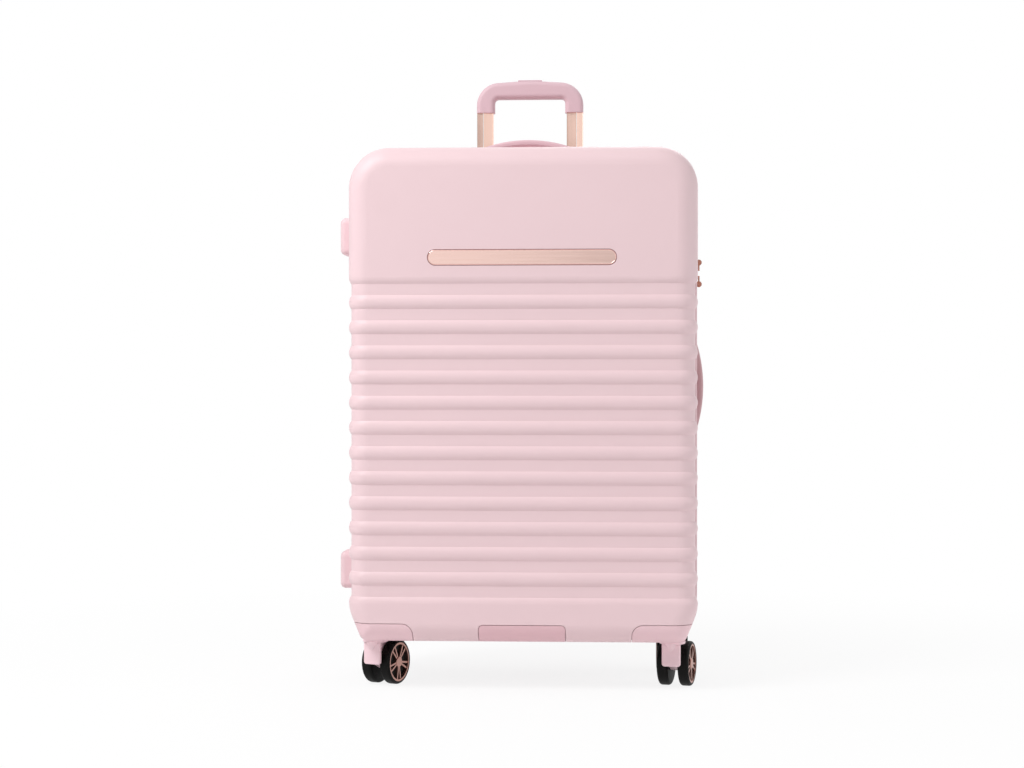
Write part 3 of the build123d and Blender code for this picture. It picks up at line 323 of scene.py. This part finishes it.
def woven_cloth(name, colour, threads_per_m, depth=0.00025):
    """Plain weave: two sets of threads that cross, a shade apart, with a soft sheen."""
    material, shader, place = blank_finish(name)
    parts = [place.node("SeparateXYZ", {}, {0: place}, k) for k in range(3)]
    turn = math.tau * threads_per_m
    across = parts[0] * turn + parts[1] * turn
    waves = place.math("SINE", across) * place.math("SINE", parts[2] * turn)
    weave = waves * 0.5 + 0.5
    drift = cloudiness(place, 14.0, 4.0)
    thread = between(weave, shade(colour, 0.84), shade(colour, 1.1))
    worn = between(drift * 0.5, thread, shade(colour, 0.92))
    place.feed(shader.inputs["Base Color"], worn)
    place.feed(shader.inputs["Roughness"], drift * 0.1 + 0.78)
    place.feed(shader.inputs["Normal"], relief(weave, depth, 0.6))
    shader.inputs["Sheen Weight"].default_value = 0.25
    return material


def slack(x, z):
    """How far the cloth bellies inwards at a place, in millimetres."""
    along = math.sin(x * 0.031 + 1.3 * math.sin(z * 0.017))
    waves = along * math.sin(z * 0.024 + 0.8 * math.sin(x * 0.013))
    creases = math.sin(x * 0.11 + z * 0.07 + 2.0 * math.sin(z * 0.03))
    return 1.6 + 1.1 * waves + 0.35 * creases


def cloth_tub(name, rim_y, face_y, wells, material):
    """Cloth tub of one shell, pushed inwards where it covers something.

    It is a stack of rings: down the wall, round the edge, and over the panel to its middle. Each well is
    (low corner, high corner, axis, value): cloth inside it is moved to the value on that axis."""
    outward = 1 if face_y > rim_y else -1
    depth = abs(face_y - rim_y) - TUB_EDGE_R
    rings = [(TUB_INSET, rim_y + outward * depth * k / WALL_RINGS, 1.0) for k in range(WALL_RINGS + 1)]
    for k in range(1, EDGE_RINGS + 1):
        angle = math.radians(90 * k / EDGE_RINGS)
        ring_y = rim_y + outward * (depth + TUB_EDGE_R * math.sin(angle))
        rings.append((TUB_INSET + TUB_EDGE_R * (1 - math.cos(angle)), ring_y, 1.0))
    for k in range(1, PANEL_RINGS + 1):
        rings.append((TUB_INSET + TUB_EDGE_R, face_y, 1 - PANEL_SHRINK * k / PANEL_RINGS))
    around = len(case_outline(TUB_INSET, TUB_STEP))
    points = []
    for ring_inset, y, keep in rings:
        for x, z, out_x, out_z in case_outline(ring_inset, TUB_STEP):
            x, z = x * keep, PANEL_MIDDLE_Z + (z - PANEL_MIDDLE_Z) * keep
            give = slack(x, z) * (0.0 if y == rim_y else 1.0)
            on_side = 1.0 if keep == 1.0 and abs(y - face_y) > TUB_EDGE_R else 0.0
            sideways, inwards = give * on_side, give * (1 - on_side)
            place = [x - out_x * sideways, y - outward * inwards, z - out_z * sideways]
            for low, high, axis, value in wells:
                if all(a < p < b for a, p, b in zip(low, place, high)):
                    place[axis] = value
            points.append(place)
    faces = []
    for r in range(len(rings) - 1):
        for i in range(around):
            j = (i + 1) % around
            faces.append((r * around + i, r * around + j, (r + 1) * around + j, (r + 1) * around + i))
    faces.append(tuple((len(rings) - 1) * around + i for i in range(around)))
    made = new_piece(name, points, faces, material)
    thicken(made)
    return made


def thicken(made):
    """Gives a cloth piece its thickness, half on each side."""
    solid = made.modifiers.new("thickness", "SOLIDIFY")
    solid.thickness = CLOTH_THICKNESS * MM
    solid.offset = 0.0


FAR = 900.0
CLOTH_THICKNESS = 0.8
TUB_INSET, TUB_EDGE_R, TUB_STEP = 6.9, 21.0, 7.0
WALL_RINGS, EDGE_RINGS, PANEL_RINGS = 16, 5, 30
PANEL_SHRINK, PANEL_MIDDLE_Z = 0.99, 410.0
LINING_PINK = paint(206, 176, 181)
lining_cloth = woven_cloth("lining_cloth", LINING_PINK, 900.0)

# What the linings cover, grown by the slope that the cloth needs beside it.
WELL_SLOPE = 9.0
CORNER_X, GRIP_PLATE_X = 139.5 - WELL_SLOPE, 69.5 + WELL_SLOPE
CORNER_Y, GRIP_PLATE_Y = 39.5 - WELL_SLOPE, 79.5 - WELL_SLOPE
CORNER_TOP_Z, GRIP_PLATE_TOP_Z = 102.5, 101.5
SOCKET_NEAR_Y, SOCKET_FAR_Y = 21.5 - WELL_SLOPE / 2, 74.5 + WELL_SLOPE
TOP_SOCKET_X, TOP_SOCKET_LOW_Z = 126.0 + WELL_SLOPE, 716.0
SIDE_SOCKET_X, SIDE_SOCKET_LOW_Z, SIDE_SOCKET_HIGH_Z = 210.5, 322.0 - WELL_SLOPE, 512.0 + WELL_SLOPE
LOCK_X, LOCK_FAR_Y = 222.0, 47.0 + WELL_SLOPE
LOCK_LOW_Z, LOCK_HIGH_Z = 551.0 - WELL_SLOPE, 605.0 + WELL_SLOPE
CUP_NEAR_Y, CUP_LOW_Z = 88.0, 718.5
ALONG_X, ALONG_Z = 0, 2
grip_plate_high = (GRIP_PLATE_X, -GRIP_PLATE_Y, GRIP_PLATE_TOP_Z)
front_wells = [
    ((-FAR, -FAR, -FAR), (-CORNER_X, -CORNER_Y, CORNER_TOP_Z), ALONG_Z, CORNER_TOP_Z),
    ((CORNER_X, -FAR, -FAR), (FAR, -CORNER_Y, CORNER_TOP_Z), ALONG_Z, CORNER_TOP_Z),
    ((-GRIP_PLATE_X, -FAR, -FAR), grip_plate_high, ALONG_Z, GRIP_PLATE_TOP_Z),
]
side_socket_low = (SIDE_SOCKET_X, SOCKET_NEAR_Y, SIDE_SOCKET_LOW_Z)
top_socket_low = (-TOP_SOCKET_X, SOCKET_NEAR_Y, TOP_SOCKET_LOW_Z)
rear_wells = [
    ((-FAR, CORNER_Y, -FAR), (-CORNER_X, FAR, CORNER_TOP_Z), ALONG_Z, CORNER_TOP_Z),
    ((CORNER_X, CORNER_Y, -FAR), (FAR, FAR, CORNER_TOP_Z), ALONG_Z, CORNER_TOP_Z),
    (top_socket_low, (TOP_SOCKET_X, SOCKET_FAR_Y, FAR), ALONG_Z, TOP_SOCKET_LOW_Z),
    (side_socket_low, (FAR, SOCKET_FAR_Y, SIDE_SOCKET_HIGH_Z), ALONG_X, SIDE_SOCKET_X),
    ((LOCK_X, -FAR, LOCK_LOW_Z), (FAR, LOCK_FAR_Y, LOCK_HIGH_Z), ALONG_X, LOCK_X),
    ((-FAR, CUP_NEAR_Y, CUP_LOW_Z), (FAR, FAR, FAR), ALONG_Z, CUP_LOW_Z),
]
FRONT_LINING_Y, REAR_LINING_Y = (-23.0, -142.0), (14.0, 91.9)
front_cloth = cloth_tub("front_lining_cloth", *FRONT_LINING_Y, front_wells, lining_cloth)
rear_cloth = cloth_tub("rear_lining_cloth", *REAR_LINING_Y, rear_wells, lining_cloth)
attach(front_cloth, "front_case")
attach(rear_cloth, "rear_case")
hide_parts("front_lining")
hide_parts("rear_lining")


# Corner housings and the grip plate: thicker moulded plastic, a little deeper in colour, let into
# the shells flush with their skin and screwed down from inside.

TRIM_PINK = paint(240, 206, 212)
GRIP_PLATE_PINK = paint(232, 192, 199)
trim_plastic = moulded_plastic("trim_plastic", TRIM_PINK, 0.46)
grip_plate_plastic = moulded_plastic("grip_plate_plastic", GRIP_PLATE_PINK, 0.46)
dress(trim_plastic, "front_corner_housings", "rear_corner_housings")
dress(grip_plate_plastic, "bottom_grip_plate")


def plated_metal(name, colour, roughness, brush=(1.0, 1.0, 1.0), fine=320.0):
    """Plated metal with fine brush marks, which run along the axis whose share is small."""
    material, shader, place = blank_finish(name)
    stretched = place.node("Mapping", {}, {"Vector": place, "Scale": brush})
    marks = stretched.node("TexNoise", {}, {"Vector": stretched, "Scale": fine, "Detail": 3.0})
    smear = cloudiness(place, 30.0, 3.0)
    place.feed(shader.inputs["Base Color"], between(marks, shade(colour, 0.9), shade(colour, 1.08)))
    place.feed(shader.inputs["Roughness"], marks * 0.1 + smear * 0.08 + (roughness - 0.09))
    place.feed(shader.inputs["Normal"], relief(marks, 0.00003, 0.25))
    shader.inputs["Metallic"].default_value = 1.0
    return material


STEEL = paint(196, 196, 200)
screw_steel = plated_metal("screw_steel", STEEL, 0.35)
dress(screw_steel, "front_screws", "rear_screws")


# Name plate: a pill of thin plated metal, brushed along its length and left bare, in a pocket of
# the front shell's plain panel.

ROSE_GOLD = paint(254, 214, 204)
plate_metal = plated_metal("plate_metal", ROSE_GOLD, 0.17, (0.04, 1.0, 1.0), 420.0)
dress(plate_metal, "name_plate")
plate_low, plate_high = (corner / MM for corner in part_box("name_plate"))


def pill_ring(name, profile, material, arc_steps=24):
    """Ring that follows the plate's edge: profile is a list of (outwards, forwards), in millimetres."""
    middle_z, round_r = (plate_low.z + plate_high.z) / 2, (plate_high.z - plate_low.z) / 2
    run_x = (plate_high.x - plate_low.x) / 2 - round_r
    around = 2 * (arc_steps + 1)
    points = []
    for outwards, forwards in profile:
        for k in range(around):
            side = 1 if k <= arc_steps else -1
            angle = math.radians(-90 + 180 * (k % (arc_steps + 1)) / arc_steps)
            reach = round_r + outwards
            x = side * (run_x + reach * math.cos(angle))
            points.append((x, plate_low.y - forwards, middle_z + side * reach * math.sin(angle)))
    faces = []
    for r in range(len(profile) - 1):
        for i in range(around):
            j = (i + 1) % around
            faces.append((r * around + i, r * around + j, (r + 1) * around + j, (r + 1) * around + i))
    made = new_piece(name, points, faces, material)
    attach(made, "front_case")


RIM_PROFILE = [(-1.5, -0.05), (-1.2, 0.25), (-0.7, 0.35), (-0.2, 0.2), (0.0, -0.1)]
GROOVE_PROFILE = [(0.0, -0.1), (0.5, -0.32), (1.0, -0.37)]
rim_metal = plated_metal("rim_metal", paint(240, 200, 192), 0.22)
pill_ring("name_plate_rim", RIM_PROFILE, rim_metal)
# The groove ring is painted dark brown: painted shade in the gap between the plate and its pocket.
painted_groove_shade = moulded_plastic("painted_groove_shade", paint(132, 84, 82), 0.6)
pill_ring("name_plate_groove_shade", GROOVE_PROFILE, painted_groove_shade)


# Expansion gusset: a woven band that is folded away behind the front shell's rim, with its own fine zip
# beside it.
# On the real case it opens out when the front shell moves forwards; this band is fixed in place.

GUSSET_PINK = paint(214, 172, 181)
gusset_cloth = woven_cloth("gusset_cloth", GUSSET_PINK, 700.0)


def drop_loose_points(made):
    """Takes out the points that no face uses."""
    work = bmesh.new()
    work.from_mesh(made.data)
    loose = [v for v in work.verts if not v.link_faces]
    bmesh.ops.delete(work, geom=loose, context="VERTS")
    work.to_mesh(made.data)
    work.free()


def swept_band(name, section, material, keep=None):
    """Band that follows the case's outline: section is a list of (inset, y) from edge to edge."""
    rows = [case_outline(inset, BAND_STEP) for inset, _ in section]
    around = len(rows[0])
    points = []
    for row, (_, y) in zip(rows, section):
        points += [(x, y, z) for x, z, _, _ in row]
    faces = []
    for r in range(len(section) - 1):
        for i in range(around):
            j = (i + 1) % around
            x, _, z = points[i]
            next_x, _, next_z = points[j]
            if keep is None or (keep(x, z) and keep(next_x, next_z)):
                faces.append((r * around + i, r * around + j, (r + 1) * around + j, (r + 1) * around + i))
    made = new_piece(name, points, faces, material)
    drop_loose_points(made)
    return made


BAND_STEP = 8.0
gusset_section = [
    (6.4, -23.0),
    (5.6, -21.6),
    (11.5, -20.6),
    (16.5, -20.0),
    (11.5, -19.0),
    (5.4, -18.2),
    (11.0, -17.4),
    (16.0, -16.8),
    (10.5, -16.0),
    (5.0, -15.2),
    (4.7, -12.0),
    (4.9, -8.0),
    (4.8, -5.0),
    (5.2, -2.9),
]
gusset = swept_band("gusset_band", gusset_section, gusset_cloth)
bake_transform(gusset)
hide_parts("expansion_gusset")


# Zips: woven tape with rows of small moulded teeth, which mesh along the seam. The main zip runs over
# the top, down the right side and under the bottom, and the gusset's zip goes all the way round.

HINGE_LOW_Z, HINGE_HIGH_Z = 150.0, 660.0
ZIP_PINK = paint(196, 148, 156)
TOOTH_PROFILE, TOOTH_RISE, LINE_STEP = [(3.4, 0.42), (1.5, 0.4), (0.9, 0.62), (-0.55, 0.55)], 0.9, 0.5
tape_cloth = woven_cloth("tape_cloth", paint(212, 170, 178), 1100.0)
teeth_plastic = moulded_plastic("teeth_plastic", ZIP_PINK, 0.38)


def beside_hinge(x, z):
    """True away from the stretch of the left side where the fabric hinge is."""
    return not (x < 0 and HINGE_LOW_Z < z < HINGE_HIGH_Z)


def zip_teeth(name, seam_y, side, phase, inset, keep, pitch=2.6):
    """Row of teeth whose heads reach just over the seam from one side. Each is a small waisted block."""
    line = case_outline(inset, LINE_STEP)
    points, faces = [], []
    travelled = phase * pitch
    for (x, z, out_x, out_z), (next_x, next_z, _, _) in zip(line, line[1:] + line[:1]):
        travelled += math.hypot(next_x - x, next_z - z)
        if travelled < pitch:
            continue
        travelled -= pitch
        if keep is not None and not keep(x, z):
            continue
        along = (-out_z, out_x)
        first = len(points)
        for reach, half in TOOTH_PROFILE:
            for rise in (TOOTH_RISE, -TOOTH_RISE):
                for offset in (-half, half):
                    tooth_x = x + out_x * rise + along[0] * offset
                    tooth_z = z + out_z * rise + along[1] * offset
                    points.append((tooth_x, seam_y + side * reach, tooth_z))
        for block in range(3):
            a = first + block * 4
            faces += [(a, a + 1, a + 5, a + 4), (a + 1, a + 3, a + 7, a + 5)]
            faces += [(a + 3, a + 2, a + 6, a + 7), (a + 2, a, a + 4, a + 6)]
        faces += [(first, first + 2, first + 3, first + 1)]
        faces += [(first + 12, first + 13, first + 15, first + 14)]
    return new_piece(name, points, faces, teeth_plastic, smooth=False)


SEAM_Y, GUSSET_SEAM_Y = 5.0, -12.0
TEETH_INSET, GUSSET_TEETH_INSET, GUSSET_PITCH = 4.6, 4.5, 2.2
TAPE_PROFILE = [(4.6, 8.0), (4.9, 6.0), (5.0, 4.0), (5.0, 1.6)]
main_zip = (
    ("front", "lid_frame", "front_zip_chain", -1, 0.0),
    ("rear", "rear_case", "rear_zip_chain", 1, 0.5),
)
for zip_half, body, node, side, phase in main_zip:
    tape_section = [(tape_inset, SEAM_Y + side * reach) for tape_inset, reach in TAPE_PROFILE]
    tape = swept_band(f"{zip_half}_zip_tape", tape_section, tape_cloth, beside_hinge)
    thicken(tape)
    teeth = zip_teeth(f"{zip_half}_zip_teeth", SEAM_Y, side, phase, TEETH_INSET, beside_hinge)
    for made in (tape, teeth):
        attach(made, body)
    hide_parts(node)

for zip_half, side, phase in (("front", -1, 0.0), ("rear", 1, 0.5)):
    coil_name = f"gusset_zip_teeth_{zip_half}"
    coil = zip_teeth(coil_name, GUSSET_SEAM_Y, side, phase, GUSSET_TEETH_INSET, None, GUSSET_PITCH)
    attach(coil, "lid_frame")


# Fabric hinge: a doubled strip of webbing down the left side, sewn to the rear shell's rim and to the
# gusset.
# On the real case it folds on itself when the front swings open; this strip keeps its closed shape.

HINGE_STEP, HINGE_END_GAP = 10.0, 1.0
hinge_line = [(-232.4, 14.6), (-235.0, 14.0), (-237.6, 13.4), (-239.8, 12.5), (-242.6, 11.0), (-245.6, 8.4)]
hinge_line += [(-247.0, 5.0), (-245.6, 1.6), (-242.6, -1.0), (-239.4, -2.8), (-236.2, -4.0), (-233.6, -4.6)]
webbing = woven_cloth("webbing", paint(208, 164, 173), 520.0, 0.0004)
hinge_rows = int((HINGE_HIGH_Z - HINGE_LOW_Z) / HINGE_STEP) + 1
webbing_length = HINGE_HIGH_Z - HINGE_LOW_Z - 2 * HINGE_END_GAP
hinge_points, wide = [], len(hinge_line)
for row in range(hinge_rows):
    z = HINGE_LOW_Z + HINGE_END_GAP + row * webbing_length / (hinge_rows - 1)
    pucker = 0.35 * math.sin(row * 1.9) + 0.2 * math.sin(row * 0.7)
    for k, (x, y) in enumerate(hinge_line):
        sewn_down = k in (0, wide - 1)
        hinge_points.append((x if sewn_down else x + pucker, y, z))
hinge_faces = [
    (r * wide + k, r * wide + k + 1, (r + 1) * wide + k + 1, (r + 1) * wide + k)
    for r in range(hinge_rows - 1)
    for k in range(wide - 1)
]
hinge = new_piece("hinge_webbing", hinge_points, hinge_faces, webbing)
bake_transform(hinge)
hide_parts("hinge_strip")


# Zip sliders and pullers: small plated castings, polished where fingers rub them on the real case; here
# their roughness only varies in random patches.

ROSE_CASTING = paint(198, 138, 120)
casting_metal = plated_metal("casting_metal", ROSE_CASTING, 0.26)
for which in ("upper", "lower", "gusset"):
    dress(casting_metal, f"{which}_zip_slider", f"{which}_zip_puller")


# Combination lock: a moulded case let into the right side, with notched number dials on one pin and
# a release button. The figures are stamped and filled with pale paint.

lock_plastic = moulded_plastic("lock_plastic", paint(205, 160, 168), 0.4)
dial_plastic = moulded_plastic("dial_plastic", paint(92, 66, 68), 0.45)
figure_paint = moulded_plastic("figure_paint", paint(244, 238, 236), 0.5)
dress(lock_plastic, "lock_case", "lock_button")
FIGURE_SIZE, FIGURE_RISE = 3.4 * MM, 0.05 * MM
DIAL_FIGURES = 10
for dial in (1, 2, 3):
    dress(dial_plastic, f"lock_dial_{dial}")
    low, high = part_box(f"lock_dial_{dial}")
    centre = (low + high) / 2
    radius = (high.x - low.x) / 2
    figure_parts = []
    for figure in range(DIAL_FIGURES):
        letter = bpy.data.curves.new("figure", "FONT")
        letter.body = str(figure)
        letter.size = FIGURE_SIZE
        letter.align_x = "CENTER"
        letter.align_y = "CENTER"
        letter.extrude = FIGURE_RISE
        shape = bpy.data.objects.new("figure", letter)
        scene.collection.objects.link(shape)
        bpy.context.view_layer.update()
        mesh = bpy.data.meshes.new_from_object(shape.evaluated_get(bpy.context.evaluated_depsgraph_get()))
        bpy.data.objects.remove(shape)
        turn = Matrix.Rotation(math.tau * figure / DIAL_FIGURES, 4, "Z")
        stand = Matrix(((0, 0, 1, radius), (1, 0, 0, 0), (0, 1, 0, 0), (0, 0, 0, 1)))
        mesh.transform(Matrix.Translation(centre) @ turn @ stand)
        figure_parts.append(mesh)
    joined_points, joined_faces = [], []
    for mesh in figure_parts:
        base = len(joined_points)
        joined_points += [v.co / MM for v in mesh.vertices]
        joined_faces += [tuple(base + k for k in p.vertices) for p in mesh.polygons]
        bpy.data.meshes.remove(mesh)
    figures_name = f"lock_dial_{dial}_figures"
    figures = new_piece(figures_name, joined_points, joined_faces, figure_paint, smooth=False)
    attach(figures, f"dial_{dial}")


# Side feet, handle sockets and carry handles: moulded in the same deeper pink, a little rubbery on
# the handles so that they don't slip in the hand.

foot_plastic = moulded_plastic("foot_plastic", paint(232, 202, 207), 0.44)
dress(foot_plastic, "side_feet")
dress(trim_plastic, "handle_sockets")
handle_rubber = moulded_plastic("handle_rubber", paint(226, 190, 198), 0.58, 0.0001)
dress(handle_rubber, "top_handle")
side_handle_rubber = moulded_plastic("side_handle_rubber", paint(212, 174, 178), 0.58, 0.0001)
dress(side_handle_rubber, "side_handle")


# Pull handle: two-stage tubes of anodised aluminium with a ridge down the front, a moulded cup and
# foot bracket, and a soft grip with a push button that frees the tubes.

tube_metal = plated_metal("tube_metal", paint(247, 210, 195), 0.25, (1.0, 1.0, 0.01), 160.0)
dress(tube_metal, "outer_tubes", "middle_tubes", "inner_tubes")
# The ridge strips are polished and also painted near-white: a painted highlight along each inner tube's
# ridge.
ridge_highlight_metal = plated_metal("ridge_highlight_metal", paint(255, 248, 244), 0.2, (1.0, 1.0, 0.01), 160.0)
TUBE_X, RIDGE_OUT, RIDGE_HALF_WIDTH = 67.0, 2.5, 0.8
RIDGE_ROOT, RIDGE_CROWN, RIDGE_IN_GRIP = 0.25, 0.12, 0.02
ridge_low, ridge_high = (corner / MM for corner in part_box("inner_tubes"))
ridge_root_y, ridge_crown_y = ridge_low.y + RIDGE_ROOT, ridge_low.y - RIDGE_CROWN
ridge_top_z = (1 - RIDGE_IN_GRIP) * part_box("grip")[0].z / MM + RIDGE_IN_GRIP * ridge_high.z
ridge_points, ridge_faces = [], []
for side in (-1, 1):
    ridge_x, first = side * (TUBE_X + RIDGE_OUT), len(ridge_points)
    for z in (ridge_low.z, ridge_top_z):
        ridge_points += [(ridge_x - RIDGE_HALF_WIDTH, ridge_root_y, z), (ridge_x, ridge_crown_y, z)]
        ridge_points += [(ridge_x + RIDGE_HALF_WIDTH, ridge_root_y, z)]
    ridge_faces += [(first, first + 1, first + 4, first + 3), (first + 1, first + 2, first + 5, first + 4)]
ridges = new_piece("inner_tube_ridge_highlights", ridge_points, ridge_faces, ridge_highlight_metal)
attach(ridges, "top_stage")
bracket_plastic = moulded_plastic("bracket_plastic", paint(58, 54, 55), 0.5)
dress(bracket_plastic, "trolley_bracket")
dress(trim_plastic, "trolley_bezel")
grip_plastic = moulded_plastic("grip_plastic", paint(222, 190, 198), 0.5)
dress(grip_plastic, "grip")
button_plastic = moulded_plastic("button_plastic", paint(214, 176, 187), 0.45)
dress(button_plastic, "grip_button")


# Castors: pink forks that swivel in the corner housings, black twin wheels with a smooth tread, and
# spoked caps plated in rose brown.

# The forks are painted lighter than the shell's pink: painted light against the shade under the case.
lightened_fork_plastic = moulded_plastic("lightened_fork_plastic", paint(246, 216, 222), 0.42)
hub_metal = plated_metal("hub_metal", paint(184, 142, 131), 0.34)
axle_steel = plated_metal("axle_steel", STEEL, 0.3)
TYRE_SHINE = 0.12
tyre_rubber = moulded_plastic("tyre_rubber", paint(13, 12, 11), 0.5, 0.0002)
tyre_rubber.node_tree.nodes["Principled BSDF"].inputs["Specular IOR Level"].default_value = TYRE_SHINE
for castor in ("front_left", "front_right", "rear_left", "rear_right"):
    dress(lightened_fork_plastic, f"{castor}_fork")
    dress(axle_steel, f"{castor}_axle")
    for half in ("left", "right"):
        dress(tyre_rubber, f"{castor}_{half}_wheel")
        dress(hub_metal, f"{castor}_{half}_hub_cap")
